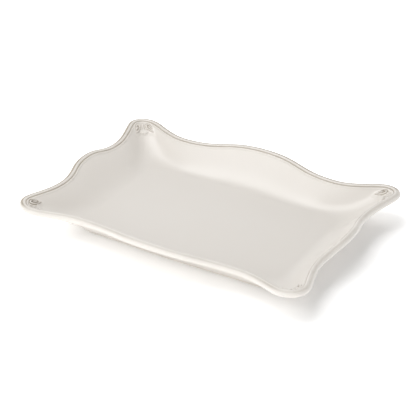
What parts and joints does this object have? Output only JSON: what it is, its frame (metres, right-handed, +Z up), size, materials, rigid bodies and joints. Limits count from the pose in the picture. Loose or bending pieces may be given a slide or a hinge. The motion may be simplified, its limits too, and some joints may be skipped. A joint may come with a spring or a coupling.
{
  "type": "serving platter",
  "caption": "Rectangular glazed china serving platter with a flat well, flared sides, a wavy reeded border and scrolled corner reliefs.",
  "frame": {"origin": "centre of the face the platter stands on, at the middle of the foot ring", "axes": "+X along the platter, +Y across it, +Z up out of the well"},
  "size_m": [0.432, 0.303, 0.048],
  "materials": {
    "well_glaze": "warm white gloss glaze over china clay",
    "wall_glaze": "warm white gloss glaze over china clay",
    "border_glaze": "warm white gloss glaze, with a thin brown wash lying in the grooves",
    "sprig_glaze": "warm white gloss glaze, with a thin brown wash in the recesses of the relief",
    "bare_foot": "unglazed fired clay, matt and slightly rough"
  },
  "bodies": {
    "root": {"well": "well_glaze", "side_wall": "wall_glaze", "border_moulding": "border_glaze", "foot_ring": "bare_foot", "corner_sprig_front_left": "sprig_glaze", "corner_sprig_front_right": "sprig_glaze", "corner_sprig_back_left": "sprig_glaze", "corner_sprig_back_right": "sprig_glaze"}
  },
  "joints": []
}
